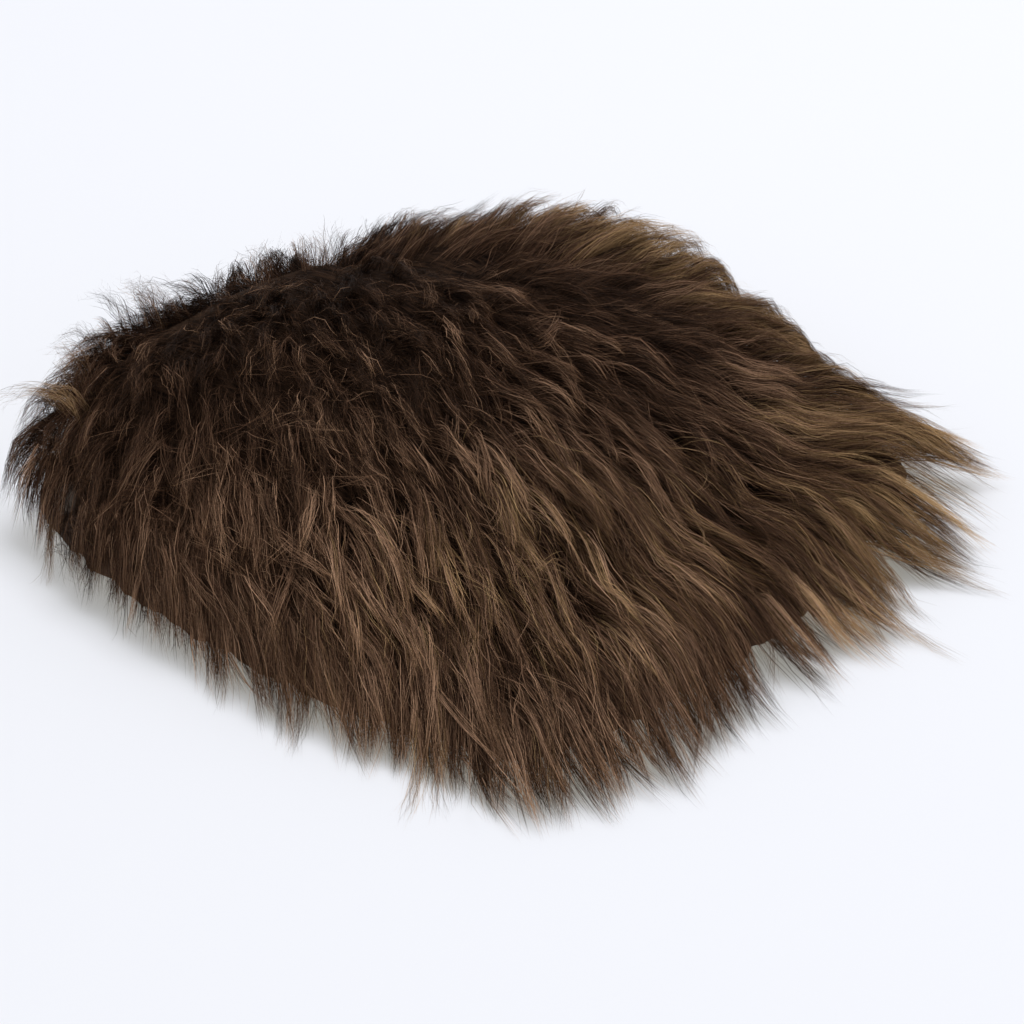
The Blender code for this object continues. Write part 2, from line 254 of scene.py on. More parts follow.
# Wisps that stand out level at the root end, where the wool falls away below them. Columns are
# as in TUFTS.
WISPS = (
    (-0.104, -0.093, -172, 0.035, 0.8, 0.06, -0.004, 0.7),
    (-0.105, -0.092, -178, 0.036, 0.7, 0.08, -0.006, 0.7),
    (-0.105, -0.088, 176, 0.036, 0.7, 0.06, 0.000, 0.7),
    (-0.106, -0.090, 178, 0.036, 0.8, 0.08, -0.002, 0.7),
    (-0.107, -0.086, 172, 0.034, 0.8, 0.04, 0.000, 0.7),
    (-0.108, -0.082, 176, 0.036, 0.9, 0.02, 0.002, 0.7),
    (-0.110, -0.074, 178, 0.032, 0.9, 0.00, 0.002, 0.7),
    (-0.112, -0.060, -176, 0.032, 0.9, 0.02, 0.008, 0.7),
    (-0.112, -0.054, 176, 0.034, 0.9, 0.04, 0.010, 0.7),
    (-0.111, -0.048, -178, 0.032, 0.9, 0.00, 0.009, 0.7),
    (-0.110, -0.040, 168, 0.028, 0.9, -0.02, 0.003, 0.7),
    (-0.108, -0.028, 150, 0.026, 0.9, -0.08, 0.003, 0.7),
    (-0.100, -0.008, 140, 0.024, 0.9, -0.10, 0.003, 0.7),
    (-0.098, 0.014, 150, 0.020, 0.9, -0.06, 0.009, 0.7),
    (-0.096, 0.020, 140, 0.022, 0.9, -0.06, 0.010, 0.7),
    (-0.096, 0.024, 130, 0.020, 0.9, -0.08, 0.008, 0.7),
)

# Styles of locks. A lock is made of sublocks, and each of those of fibres, which are strips with
# some rows of points. Rim, depth, frizz and spacing say where roots lie: inside the rim of the
# skin or the mat and this near to it, in wool with frizz between these limits, and this far apart
# where the wool is long and level. Share is a lock's part of the wool's length, and reach is how
# much of the lock its sublocks run along. Levels go from 0 at the wool's underside to 1 at its
# top, and names are the style's pieces from the near side to the far one. Stand goes
# from 0 for fibres that follow the wool's slope to 1 for fibres that keep their root's height.
# Scatter is how far a lock turns from the wool's heading, curl multiplies its bend, crimp is the
# height of a fibre's small waves, and spread multiplies how far tips drift apart. Tone is added to
# the colour, and contrast multiplies the difference between locks.
PLAIN_STYLE = {
    "rim": "skin",
    "depth": 1.0,
    "share": 1.0,
    "reach": (0.80, 1.0),
    "stand": 0.0,
    "curl": 1.0,
    "spread": 1.0,
    "tone": 0.0,
    "contrast": 1.0,
}
STYLES = (
    {
        **PLAIN_STYLE,
        "names": ("wool_near", "wool_middle", "wool_back", "wool_far"),
        "frizz": (0.0, 0.45),
        "spacing": 0.0050,
        "sublocks": 8,
        "fibres": 5,
        "rows": 7,
        "levels": (0.60, 1.04),
        "scatter": math.radians(5),
        "crimp": 0.0005,
        "half_width": 0.00010,
    },
    {
        **PLAIN_STYLE,
        "names": ("root_wool_near", "root_wool_far"),
        "frizz": (0.45, 9.0),
        "spacing": 0.0044,
        "sublocks": 7,
        "fibres": 5,
        "rows": 6,
        "share": 1.05,
        "levels": (0.56, 1.0),
        "scatter": math.radians(8),
        "curl": 0.6,
        "crimp": 0.0005,
        "half_width": 0.00008,
        "contrast": 0.9,
    },
    {
        **PLAIN_STYLE,
        "names": ("rim_wool_near", "rim_wool_far"),
        "depth": 0.012,
        "frizz": (0.0, 9.0),
        "spacing": 0.0036,
        "sublocks": 4,
        "fibres": 7,
        "rows": 4,
        "share": 1.15,
        "levels": (0.50, 1.0),
        "scatter": math.radians(14),
        "crimp": 0.0004,
        "half_width": 0.00010,
        "tone": 0.08,
        "contrast": 0.8,
    },
    {
        **PLAIN_STYLE,
        "names": ("edge_wool",),
        "rim": "mat",
        "depth": 0.008,
        "frizz": (0.12, 9.0),
        "spacing": 0.0026,
        "sublocks": 3,
        "fibres": 6,
        "rows": 4,
        "share": 0.50,
        "reach": (0.45, 1.0),
        "levels": (0.05, 1.0),
        "scatter": math.radians(22),
        "curl": 1.5,
        "crimp": 0.0004,
        "spread": 2.0,
        "half_width": 0.00009,
    },
    {
        **PLAIN_STYLE,
        "names": ("root_fuzz",),
        "frizz": (0.36, 9.0),
        "spacing": 0.0036,
        "sublocks": 1,
        "fibres": 3,
        "rows": 7,
        "share": 0.8,
        "levels": (0.82, 1.00),
        "scatter": math.radians(24),
        "curl": 2.5,
        "crimp": 0.0010,
        "half_width": 0.00006,
    },
    {
        **PLAIN_STYLE,
        "names": ("stray_wool",),
        "frizz": (0.0, 0.45),
        "spacing": 0.0039,
        "sublocks": 1,
        "fibres": 4,
        "rows": 8,
        "share": 0.8,
        "levels": (0.92, 1.05),
        "scatter": math.radians(12),
        "curl": 3.0,
        "crimp": 0.0009,
        "half_width": 0.00006,
    },
)
TUFT_STYLE = {
    **PLAIN_STYLE,
    "sublocks": 10,
    "fibres": 8,
    "rows": 7,
    "reach": (0.55, 1.0),
    "levels": (0.90, 0.98),
    "scatter": math.radians(4),
    "curl": 2.0,
    "crimp": 0.0009,
    "spread": 2.0,
    "half_width": 0.00007,
}
WISP_STYLE = {
    **TUFT_STYLE,
    "sublocks": 9,
    "fibres": 6,
    "rows": 9,
    "stand": 0.9,
    "scatter": math.radians(16),
    "curl": 3.5,
    "crimp": 0.0014,
    "spread": 2.8,
    "half_width": 0.00006,
}

# Roots, and how a lock is followed. Its bend is in degrees for each step, and frizz adds to it.
FULL_LENGTH = 0.065
MOST_CROWDING = 3.0
ROOT_TRIES = 60000
ROOT_INSET = 0.0005
TRACE_STEP = 0.003
TRACE_STEPS = 27
BEND = 0.15
FRIZZY_BEND = 2.6

# How long fibres are, where they start and how they lie. Lengths vary by shares. A fibre starts
# at a share of the way to the rim, at one layer of the wool's depth, and comes up to its level.
LENGTH_VARIATION = (0.85, 1.2)
PAST_END = (0.92, 1.17)
SHORTEST = 0.008
FIBRE_REACH = (0.86, 1.0)
STARTS = (0.12, 0.45)
START_LAYER = 0.45
LIE_DOWN = 2.6
LIFT_VARIATION = (-0.2, 1.5)
LIFT_POWER = 1.4
TIP_RISE = 0.0010
LOWEST = 0.0004
FLOOR_LAYER = 0.0004
HIGHEST_ABOVE = 0.002

# Sections of locks and sublocks. They narrow towards the tips by a share, with a power.
LOCK_HALF_WIDTH = 0.0036
LOCK_HALF_DEPTH = 0.0022
LOCK_NARROWING = 0.72
LOCK_NARROWING_POWER = 1.5
SUBLOCK_HALF_WIDTH = 0.0010
SUBLOCK_HALF_DEPTH = 0.0009
SUBLOCK_NARROWING = 0.60
SUBLOCK_NARROWING_POWER = 1.2
FLATTENING = 0.6
DEPTH_STARTS = 0.3

# Waves: height in straight wool, height that frizz adds, shortest wave and longest one
LOCK_WAVE = (0.0001, 0.0010, 0.035, 0.060)
SUBLOCK_WAVE = (0.0003, 0.0008, 0.024, 0.044)
CRIMP_LENGTHS = (0.017, 0.032)
SUBLOCK_RISE = (0.0002, 0.0008, 0.018, 0.034)
FIBRE_RISE = (0.0002, 0.0012, 0.014, 0.030)
FRIZZ_TIGHTENS = 0.45

# Tips that drift apart, and the few fibres that go astray, less far where frizz holds them
SUBLOCK_DRIFT = 0.0008
FIBRE_DRIFT = 0.0009
FRIZZY_DRIFT = 1.2
ASTRAY_SHARE = 0.07
ASTRAY_DRIFT = 0.0045
ASTRAY_LIFT = 0.4
FRIZZ_HOLDS = 0.5

# Tones of locks, sublocks and fibres. Locks are painted darker the lower they lie in the wool, and
# lighter above
# MIDDLE_LEVEL: painted shade and light by depth.
MEAN_TONE = 0.42
TONE_LIMITS = (0.02, 0.98)
MIDDLE_LEVEL = 0.86
LEVEL_SHADE = 0.45
LOCK_TONE = 0.13
CLUSTERS = 520
CLUSTER_TONE = 0.09
SUBLOCK_TONE = 0.12
FIBRE_TONE = 0.22
GOLDEN_SHARE = 0.12
GOLDEN_BY_TONE = 4.5
GOLDEN_CONTRAST = 1.8
GOLDEN_LEAN = 3.5

# Section of a fibre, and its strip in the colour map
WIDTH_VARIATION = (0.5, 1.4)
ROOT_TAPER = 0.15
TIP_TAPER = 0.85
TIP_TAPER_POWER = 2.2
ROUND_LOOK = math.radians(50)
ROLL = math.radians(35)
MAP_MARGIN = 0.01
MAP_HALF_WIDTH = 0.001

# Mat. Its rim lies a share of the way from the skin's rim to the wool's, more so at the root end,
# and ends in points. The wool's rim is evened over a few of the mat's angles before that. At the
# worn place the skin shows pale.
MAT_ANGLES = 480
MAT_SHARES = (0.03, 0.14, 0.28, 0.42, 0.54, 0.64, 0.73, 0.80, 0.86, 0.91, 0.94, 0.96, 0.98, 1.0)
MAT_DEPTH = 0.62
MAT_ROOT_DEPTH = 0.06
MAT_LEAST_DEPTH = 0.0008
MAT_UNDERSIDE = 0.0004
MAT_EDGE_POWER = 16
MAT_EDGE_FADE = 8
MAT_SKIRT = 0.76
MAT_ROOT_SKIRT = 0.22
MAT_POINTS = 90
MAT_POINT_SHIFT = 0.3
MAT_POINT_DEPTH = (0.03, 0.12)
ROOTS_BEYOND = 0.001
ROOTS_BEYOND_ROOT_END = 0.006
RIM_GAPS = 2
RIM_EVENING = 5
FLOW_TURN = math.radians(28)
WORN_PLACE = (-0.1185, -0.1077, 0.017)
WORN_REACH = 0.008

# Shed fibres on the floor: their directions from the middle in degrees, and the shares of the
# wool's reach where they start. Each next turn keeps a part of the last.
LOOSE_FIBRES = 60
LOOSE_PLACES = (-72.0, -65.0, -58.0, -52.0, -47.0, -42.0, 19.0, 33.0)
LOOSE_SCATTER = 3
LOOSE_REACH = (0.90, 1.0)
LOOSE_ROWS = 16
LOOSE_STEP = 0.0014
LOOSE_HEADING = 0.8
LOOSE_TURN = 0.28
LOOSE_TURN_KEPT = 0.7
LOOSE_TONES = (0.05, 0.95)
LOOSE_HALF_WIDTH = 0.00004


class HeightField:
    """Heights on a square grid, read between its points along straight lines."""

    def __init__(self, low, heights):
        self.low = low
        self.heights = heights

    def at(self, x, y):
        rows, columns = self.heights.shape
        u = np.clip((x - self.low[0]) / FIELD_STEP, 0, rows - 1 - JUST_INSIDE)
        v = np.clip((y - self.low[1]) / FIELD_STEP, 0, columns - 1 - JUST_INSIDE)
        i = u.astype(int)
        j = v.astype(int)
        s = u - i
        t = v - j
        h = self.heights
        return (
            h[i, j] * (1 - s) * (1 - t)
            + h[i + 1, j] * s * (1 - t)
            + h[i, j + 1] * (1 - s) * t
            + h[i + 1, j + 1] * s * t
        )

    def slope(self, x, y):
        return (
            (self.at(x + FIELD_STEP, y) - self.at(x - FIELD_STEP, y)) / (2 * FIELD_STEP),
            (self.at(x, y + FIELD_STEP) - self.at(x, y - FIELD_STEP)) / (2 * FIELD_STEP),
        )


def tree_of(node):
    """A node's faces, ready to be hit by rays."""
    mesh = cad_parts[node].data
    places = [vertex.co.copy() for vertex in mesh.vertices]
    return BVHTree.FromPolygons(places, [tuple(face.vertices) for face in mesh.polygons])


def blurred(heights):
    """Heights smoothed along both sides of the grid."""
    cells = FIELD_BLUR / FIELD_STEP
    reach = math.ceil(3 * cells)
    kernel = np.exp(-0.5 * (np.arange(-reach, reach + 1) / cells) ** 2)
    kernel /= kernel.sum()
    for side in (0, 1):
        heights = np.apply_along_axis(np.convolve, side, heights, kernel, mode="same")
    return heights


def filled(heights):
    """Heights spread out by a few cells, so that the gaps between the solid's locks close."""
    for side in (0, 1):
        moved = [np.roll(heights, step, side) for step in range(-FIELD_FILL, FIELD_FILL + 1)]
        heights = np.max(moved, axis=0)
    return heights


def read_heights(tree, from_above):
    """Heights of a solid's top or underside as a field, with 0 where there is none."""
    low = np.array(cad_box[0])[:2] - FIELD_MARGIN
    high = np.array(cad_box[1])[:2] + FIELD_MARGIN
    counts = np.ceil((high - low) / FIELD_STEP).astype(int) + 1
    side = 1 if from_above else -1
    way = Vector((0, 0, -side))
    heights = np.zeros(counts)
    for i, j in np.ndindex(*counts):
        start = Vector((low[0] + i * FIELD_STEP, low[1] + j * FIELD_STEP, side * RAY_HEIGHT))
        hit = tree.ray_cast(start, way)[0]
        heights[i, j] = 0.0 if hit is None else hit.z
    if from_above:
        heights = filled(heights)
    return HeightField(low, blurred(heights))


def rim_distance(tree, angle):
    """How far a solid reaches from the origin at an angle in plan."""
    inside, outside = 0.0, RIM_FURTHEST
    for _ in range(RIM_HALVINGS):
        middle = (inside + outside) / 2
        above = Vector((middle * math.cos(angle), middle * math.sin(angle), RAY_HEIGHT))
        if tree.ray_cast(above, Vector((0, 0, -1)))[0] is None:
            outside = middle
        else:
            inside = middle
    return inside


def evened(reaches):
    """Reaches at even angles without the gaps between locks: the least near each, smoothed."""
    least = np.min([np.roll(reaches, step) for step in range(-RIM_GAPS, RIM_GAPS + 1)], axis=0)
    return np.mean([np.roll(least, step) for step in range(-RIM_EVENING, RIM_EVENING + 1)], axis=0)


def root_share(angle):
    """From 0 toward the tip end of the skin to 1 toward its root end."""
    return ((1 - np.cos(angle)) / 2) ** 2


def points_of_rim(angles):
    """Shares of the mat's reach at the angles, with points as the ends of locks make them."""
    draw = np.random.default_rng(SEED + 3)
    places = np.linspace(-math.pi, math.pi, MAT_POINTS, endpoint=False)
    shifts = draw.uniform(-MAT_POINT_SHIFT, MAT_POINT_SHIFT, MAT_POINTS)
    places = places + shifts * 2 * math.pi / MAT_POINTS
    reaches = 1 - draw.uniform(0, MAT_POINT_DEPTH[0], MAT_POINTS)
    notches = 1 - draw.uniform(*MAT_POINT_DEPTH, MAT_POINTS)
    between = (places + np.append(places[1:], places[0] + 2 * math.pi)) / 2
    every = np.stack((places, between), 1).ravel()
    return np.interp(angles, every, np.stack((reaches, notches), 1).ravel(), period=2 * math.pi)


def find_rims(hide, fleece):
    """Rims of the rooted skin, the mat and the wool, as angles in plan and reaches there."""
    angles = np.linspace(-math.pi, math.pi, MAT_ANGLES, endpoint=False)
    skin = np.array([rim_distance(hide, angle) for angle in angles])
    wool = np.array([rim_distance(fleece, angle) for angle in angles])
    wool = np.maximum(evened(wool), skin)
    toward_root = root_share(angles)
    rooted = skin + ROOTS_BEYOND + ROOTS_BEYOND_ROOT_END * toward_root
    skirt = (MAT_SKIRT + MAT_ROOT_SKIRT * toward_root) * points_of_rim(angles)
    mat = skin + skirt * (wool - skin)
    return {"skin": (angles, rooted), "mat": (angles, mat), "wool": (angles, wool)}


def beyond(rim, x, y):
    """How far points lie beyond a rim; negative inside it."""
    return np.hypot(x, y) - np.interp(np.arctan2(y, x), *rim, period=2 * math.pi)


def groom(x, y):
    """The wool's lie at each point, blended from the rows of GROOM, by column name."""
    table = dict(zip(GROOM_COLUMNS, np.array(GROOM).T))
    away = (x[..., None] - SKIN_PLACE[0] - table["x"]) ** 2
    away = away + (y[..., None] - SKIN_PLACE[1] - table["y"]) ** 2
    nearness = np.exp(-away / table["reach"] ** 2) + TINY
    nearness /= nearness.sum(-1, keepdims=True)
    angles = np.radians(table["degrees"])
    lie = {name: nearness @ table[name] for name in ("length", "frizz", "tone", "lift", "grain")}
    lie["heading"] = np.arctan2(nearness @ np.sin(angles), nearness @ np.cos(angles))
    return lie


def thinness(fibres):
    """From 0 in full wool to 1 for the fibres that pass a thin place."""
    between = (fibres[..., 1:, :] + fibres[..., :-1, :]) / 2
    samples = np.concatenate((fibres, between), -2) - (*SKIN_PLACE, 0.0)
    thin = np.zeros(samples.shape[:-1])
    for *place, radius in THIN_PLACES:
        away = ((samples - place) ** 2).sum(-1) / radius**2
        thin = np.maximum(thin, np.exp(-(away**2)))
    return thin.max(-1)


def spread_roots(draw, fields, rim, style):
    """Lock roots in the wool that a style serves, closer in plan where it is steep or short."""
    low = np.array(cad_box[0])[:2]
    high = np.array(cad_box[1])[:2]
    tries = draw.uniform(low, high, (ROOT_TRIES, 2))
    frizz = groom(*tries.T)["frizz"]
    past = beyond(rim, *tries.T)
    inside = (past < -ROOT_INSET) & (past > -style["depth"])
    tries = tries[inside & (frizz >= style["frizz"][0]) & (frizz < style["frizz"][1])]
    slope_x, slope_y = fields["top"].slope(*tries.T)
    crowding = np.minimum(np.sqrt(1 + slope_x**2 + slope_y**2), MOST_CROWDING)
    room = style["spacing"] ** 2 / crowding * groom(*tries.T)["length"] / FULL_LENGTH
    kept = np.empty((0, 2))
    for place, least in zip(tries, room):
        if not len(kept) or ((kept - place) ** 2).sum(1).min() > least:
            kept = np.vstack((kept, place))
    return kept


def trace(draw, fields, rim, roots, style, heading=None):
    """Follows each lock from its root, in equal steps over the slope of the wool.

    The wool's own heading is followed where none is given. Returns the paths, the lie of the wool
    at the roots, how far each path runs to the end of the wool, and how far it runs before it
    crosses the rim.
    """
    count = len(roots)
    lie = groom(*roots.T)
    turn = draw.normal(0, style["scatter"], count)
    sharpness = np.radians(BEND + FRIZZY_BEND * lie["frizz"]) * style["curl"]
    bend = draw.normal(0, 1, count) * sharpness
    place = roots.copy()
    path = [place]
    for step in range(TRACE_STEPS):
        x, y = place.T
        middle = groom(x, y)["heading"] if heading is None else heading
        angle = middle + turn + bend * step
        way = np.stack((np.cos(angle), np.sin(angle)), 1)
        slope_x, slope_y = fields["top"].slope(x, y)
        rise = (slope_x * way[:, 0] + slope_y * way[:, 1]) * (1 - style["stand"])
        place = place + way * (TRACE_STEP / np.sqrt(1 + rise**2))[:, None]
        path.append(place)
    path = np.stack(path, 1)

    def run_until(met):
        """How far each path runs to its first point where something is met, or its whole length."""
        return np.where(met.any(1), met.argmax(1), TRACE_STEPS) * TRACE_STEP

    end = run_until(fields["top"].at(path[..., 0], path[..., 1]) < SEEN_DEPTH)
    leave = run_until(beyond(rim, path[..., 0], path[..., 1]) > 0)
    return path, lie, end, leave


def cluster_tone(roots):
    """Tones of the locks' clusters, which make the wool lighter and darker in broad bands."""
    draw = np.random.default_rng(SEED + 4)
    middles = draw.uniform(np.array(cad_box[0])[:2], np.array(cad_box[1])[:2], (CLUSTERS, 2))
    tones = draw.normal(0, CLUSTER_TONE, CLUSTERS)
    away = ((roots[:, None] - middles) ** 2).sum(-1)
    return tones[away.argmin(1)]


def disc(draw, *shape):
    """Random places in a disc of radius 1, as two arrays."""
    angle = draw.uniform(0, 2 * math.pi, shape)
    radius = np.sqrt(draw.uniform(0, 1, shape))
    return radius * np.cos(angle), radius * np.sin(angle)


def each(values):
    """A value for each lock, ready for its sublocks, their fibres and the rows of those."""
    return values.reshape(-1, 1, 1, 1)


def group_shapes(count, style):
    """Shapes of arrays with a value for each lock, each sublock and each fibre."""
    sublocks, fibres = style["sublocks"], style["fibres"]
    return (count, 1, 1, 1), (count, sublocks, 1, 1), (count, sublocks, fibres, 1)


def fibre_tones(draw, roots, lie, level, style):
    """A tone for each fibre, in the upper half of the tones where the fibre is golden. Locks that lie
    lower are darker and higher ones lighter, as painted shade and light by depth in the wool.
    """
    count = len(roots)
    _, sublocks, fibres = group_shapes(count, style)
    lock_tone = LOCK_TONE * style["contrast"] * (1 + GOLDEN_CONTRAST * np.maximum(lie["tone"], 0))
    shift = cluster_tone(roots) + draw.normal(0, lock_tone, count)
    tone = MEAN_TONE + style["tone"] + each(lie["tone"] + shift)
    # Painted shade: lower locks darker, higher ones lighter.
    tone = tone + LEVEL_SHADE * (level - MIDDLE_LEVEL)
    grain = each(lie["grain"])
    tone = tone + draw.normal(0, SUBLOCK_TONE, sublocks) * (0.5 + 0.5 * grain)
    tone = tone + draw.normal(0, FIBRE_TONE, fibres) * grain
    golden_share = (GOLDEN_SHARE + GOLDEN_BY_TONE * lie["tone"]) * (1 + GOLDEN_LEAN * shift)
    golden = draw.uniform(0, 1, fibres) < each(golden_share)
    return np.where(golden, 0.5, 0.0) + 0.5 * np.clip(tone, *TONE_LIMITS)


def grow_wool(draw, fields, path, lie, end, leave, style):
    """Fibres of some locks: points along each, the way out of the wool there, and their tones."""
    count = len(path)
    locks, sublocks, fibres = group_shapes(count, style)
    rows = np.linspace(0, 1, style["rows"])
    frizz = each(lie["frizz"])
    longest = lie["length"] * style["share"] * draw.uniform(*LENGTH_VARIATION, count)
    shortened = np.minimum(longest, end * draw.uniform(*PAST_END, count))
    length = each(np.maximum(shortened, SHORTEST))
    reach = draw.uniform(*style["reach"], sublocks) * draw.uniform(*FIBRE_REACH, fibres)
    start = draw.uniform(*STARTS, fibres) * np.minimum(each(leave) / length, 1)
    share = reach * (start + (1 - start) * rows)
    arc = length * share

    spot = np.minimum(arc / TRACE_STEP, TRACE_STEPS - JUST_INSIDE)
    before = spot.astype(int)
    lock = each(np.arange(count))
    here, there = path[lock, before], path[lock, before + 1]
    centre = here + (there - here) * (spot - before)[..., None]
    way = unit(there - here)
    aside = np.stack((-way[..., 1], way[..., 0]), -1)

    def wave(shape, height, frizzy_height, shortest, longest):
        """A wave along each fibre, higher towards its tip, drawn once for each value of a shape."""
        span = draw.uniform(shortest, longest, shape) * (1 - FRIZZ_TIGHTENS * frizz)
        swing = np.sin(2 * math.pi * (arc / span + draw.uniform(0, 1, shape)))
        return share * (height + frizzy_height * frizz) * swing

    lock_x, lock_z = disc(draw, *sublocks)
    sub_x, sub_z = disc(draw, *fibres)
    strayed = draw.uniform(0, 1, fibres) < ASTRAY_SHARE
    astray = strayed * draw.normal(0, ASTRAY_DRIFT, fibres) * (1 - FRIZZ_HOLDS * frizz)
    narrowing = 1 - LOCK_NARROWING * share**LOCK_NARROWING_POWER
    sub_narrowing = 1 - SUBLOCK_NARROWING * share**SUBLOCK_NARROWING_POWER
    sideways = lock_x * LOCK_HALF_WIDTH * narrowing + sub_x * SUBLOCK_HALF_WIDTH * sub_narrowing
    sideways = sideways + wave(locks, *LOCK_WAVE)
    sideways = sideways + wave(sublocks, *SUBLOCK_WAVE)
    sideways = sideways + wave(fibres, style["crimp"], style["crimp"], *CRIMP_LENGTHS)
    drift = draw.normal(0, SUBLOCK_DRIFT, sublocks)
    drift = drift + draw.normal(0, FIBRE_DRIFT, fibres) * (1 + FRIZZY_DRIFT * frizz)
    sideways = sideways + (drift * style["spread"] + astray) * share**2
    place = centre + aside * sideways[..., None]
    x, y = place[..., 0], place[..., 1]

    under, top = fields["under"].at(x, y), fields["top"].at(x, y)
    root_top = each(fields["top"].at(*path[:, 0].T))
    top = top + (root_top - top) * style["stand"]
    under = under + (root_top * START_LAYER - under) * style["stand"]
    level = each(draw.uniform(*style["levels"], count))
    layer = START_LAYER + (level - START_LAYER) * (1 - (1 - rows) ** LIE_DOWN)
    up = (lock_z * LOCK_HALF_DEPTH + sub_z * SUBLOCK_HALF_DEPTH) * (1 - FLATTENING * share**2)
    up = up + wave(fibres, *FIBRE_RISE)
    up = up + wave(sublocks, *SUBLOCK_RISE)
    lift = each(lie["lift"] * draw.uniform(*LIFT_VARIATION, count) + draw.uniform(0, TIP_RISE, count))
    lift = lift + np.abs(astray) * ASTRAY_LIFT
    up = up * np.minimum(rows / DEPTH_STARTS, 1) + lift * share**LIFT_POWER
    z = under + layer * (top - under) + up
    z = np.clip(z, LOWEST + FLOOR_LAYER * np.abs(sub_z), cad_box[1][2] + HIGHEST_ABOVE)

    slope_x, slope_y = fields["top"].slope(x, y)
    outward = np.stack((-slope_x, -slope_y, np.ones_like(z)), -1)
    tones = fibre_tones(draw, path[:, 0], lie, level, style).reshape(-1)
    points = np.stack((x, y, z), -1).reshape(len(tones), -1, 3)
    kept = draw.uniform(0, 1, len(tones)) > THIN_SHARE * thinness(points)
    return points[kept], outward.reshape(points.shape)[kept], tones[kept]


def unit(vectors):
    return vectors / np.maximum(np.linalg.norm(vectors, axis=-1, keepdims=True), TINY)


def in_strips(left, right, tip):
    """Vectors at the points of strips: left and right for each row, and one at the tip."""
    count, rows, _ = tip.shape
    strips = np.empty((count, 2 * rows - 1, 3))
    strips[:, 0:-1:2] = left[:, :-1]
    strips[:, 1:-1:2] = right[:, :-1]
    strips[:, -1] = tip[:, -1]
    return strips


def strip_mesh(name, places, rows):
    """A mesh of strips, of four-sided faces but for the tip, and the point of each face's corner."""
    count, spread, _ = places.shape
    start = (np.arange(count) * spread)[:, None]
    step = 2 * np.arange(rows - 2)[None]
    quads = np.stack((start + step, start + step + 1, start + step + 3, start + step + 2), -1)
    tips = start + np.array((spread - 3, spread - 2, spread - 1))
    corners = np.concatenate((quads.reshape(count, -1), tips), 1).reshape(-1)
    sizes = np.tile(np.append(np.full(rows - 2, 4), 3), count)
    mesh = bpy.data.meshes.new(name)
    mesh.vertices.add(count * spread)
    mesh.vertices.foreach_set("co", places.astype(np.float32).ravel())
    mesh.loops.add(len(corners))
    mesh.loops.foreach_set("vertex_index", corners.astype(np.int32))
    mesh.polygons.add(len(sizes))
    mesh.polygons.foreach_set("loop_start", np.append(0, np.cumsum(sizes)[:-1]).astype(np.int32))
    mesh.update(calc_edges=True)
    mesh.shade_smooth()
    return mesh, corners


def mark_points(mesh, label, values):
    """Gives each point of a mesh a value that its material reads."""
    attribute = mesh.attributes.new(label, "FLOAT", "POINT")
    attribute.data.foreach_set("value", values.astype(np.float32))


def ribbons(name, draw, points, outward, tone, half_width, material):
    """One mesh of tapered fibres, flat strips whose normals turn across them to look round."""
    count, rows, _ = points.shape
    along = np.linspace(0, 1, rows)
    run = unit(np.gradient(points, axis=1))
    facing = unit(outward - (outward * run).sum(-1, keepdims=True) * run)
    roll = draw.normal(0, ROLL, (count, 1, 1))
    facing = facing * np.cos(roll) + np.cross(run, facing) * np.sin(roll)
    aside = np.cross(run, facing)
    taper = (1 - ROOT_TAPER * (1 - along)) * (1 - TIP_TAPER * along**TIP_TAPER_POWER)
    width = draw.uniform(*WIDTH_VARIATION, (count, 1)) * half_width * taper
    offset = aside * width[..., None]
    places = in_strips(points - offset, points + offset, points)
    places[..., 2] = np.maximum(places[..., 2], LOWEST / 2)
    mesh, corners = strip_mesh(name, places, rows)
    ahead = facing * math.cos(ROUND_LOOK)
    turned = aside * math.sin(ROUND_LOOK)
    normals = in_strips(ahead - turned, ahead + turned, facing)
    mesh.normals_split_custom_set_from_vertices(normals.reshape(-1, 3))

    spread = places.shape[1]
    place_along = np.append(np.repeat(along[:-1], 2), 1.0)
    mark_points(mesh, "tone", np.repeat(tone, spread))
    mark_points(mesh, "along", np.tile(place_along, count))
    side = np.append(np.tile((-1.0, 1.0), rows - 1), 0.0)
    map_u = np.repeat(tone, spread) * (1 - 2 * MAP_MARGIN) + MAP_MARGIN
    map_u = map_u + np.tile(side, count) * MAP_HALF_WIDTH
    colour_map = mesh.uv_layers.new(name="OFBake")
    places_uv = np.stack((map_u, np.tile(place_along, count)), 1)[corners]
    colour_map.data.foreach_set("uv", places_uv.astype(np.float32).ravel())
    return new_piece(name, mesh, material)


def new_piece(name, mesh, material):
    obj = bpy.data.objects.new(name, mesh)
    bpy.context.scene.collection.objects.link(obj)
    mesh.materials.clear()
    mesh.materials.append(material)
    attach(obj, "root")
    return obj


def new_material(name, roughness, specular=0.5):
    """A new material, its node tree and its shader."""
    material = bpy.data.materials.new(name)
    material.use_nodes = True
    shader = material.node_tree.nodes["Principled BSDF"]
    shader.inputs["Roughness"].default_value = roughness
    shader.inputs["Specular IOR Level"].default_value = specular
    return material, material.node_tree, shader


def ramp(tree, source, stops):
    """A colour ramp over a socket, with (place, colour) stops."""
    node = tree.nodes.new("ShaderNodeValToRGB")
    elements = node.color_ramp.elements
    while len(elements) < len(stops):
        elements.new(0.5)
    for element, (place, colour) in zip(elements, stops):
        element.position = place
        element.color = (*colour, 1.0)
    tree.links.new(source, node.inputs["Fac"])
    return node.outputs["Color"]


def blend(tree, kind, first, second):
    """Two colours added or multiplied."""
    node = tree.nodes.new("ShaderNodeMix")
    node.data_type = "RGBA"
    node.blend_type = kind
    node.inputs["Factor"].default_value = 1.0
    tree.links.new(first, node.inputs["A"])
    tree.links.new(second, node.inputs["B"])
    return node.outputs["Result"]


def value_of(tree, label):
    """A value that the mesh's points hold."""
    node = tree.nodes.new("ShaderNodeAttribute")
    node.attribute_name = label
    return node.outputs["Fac"]


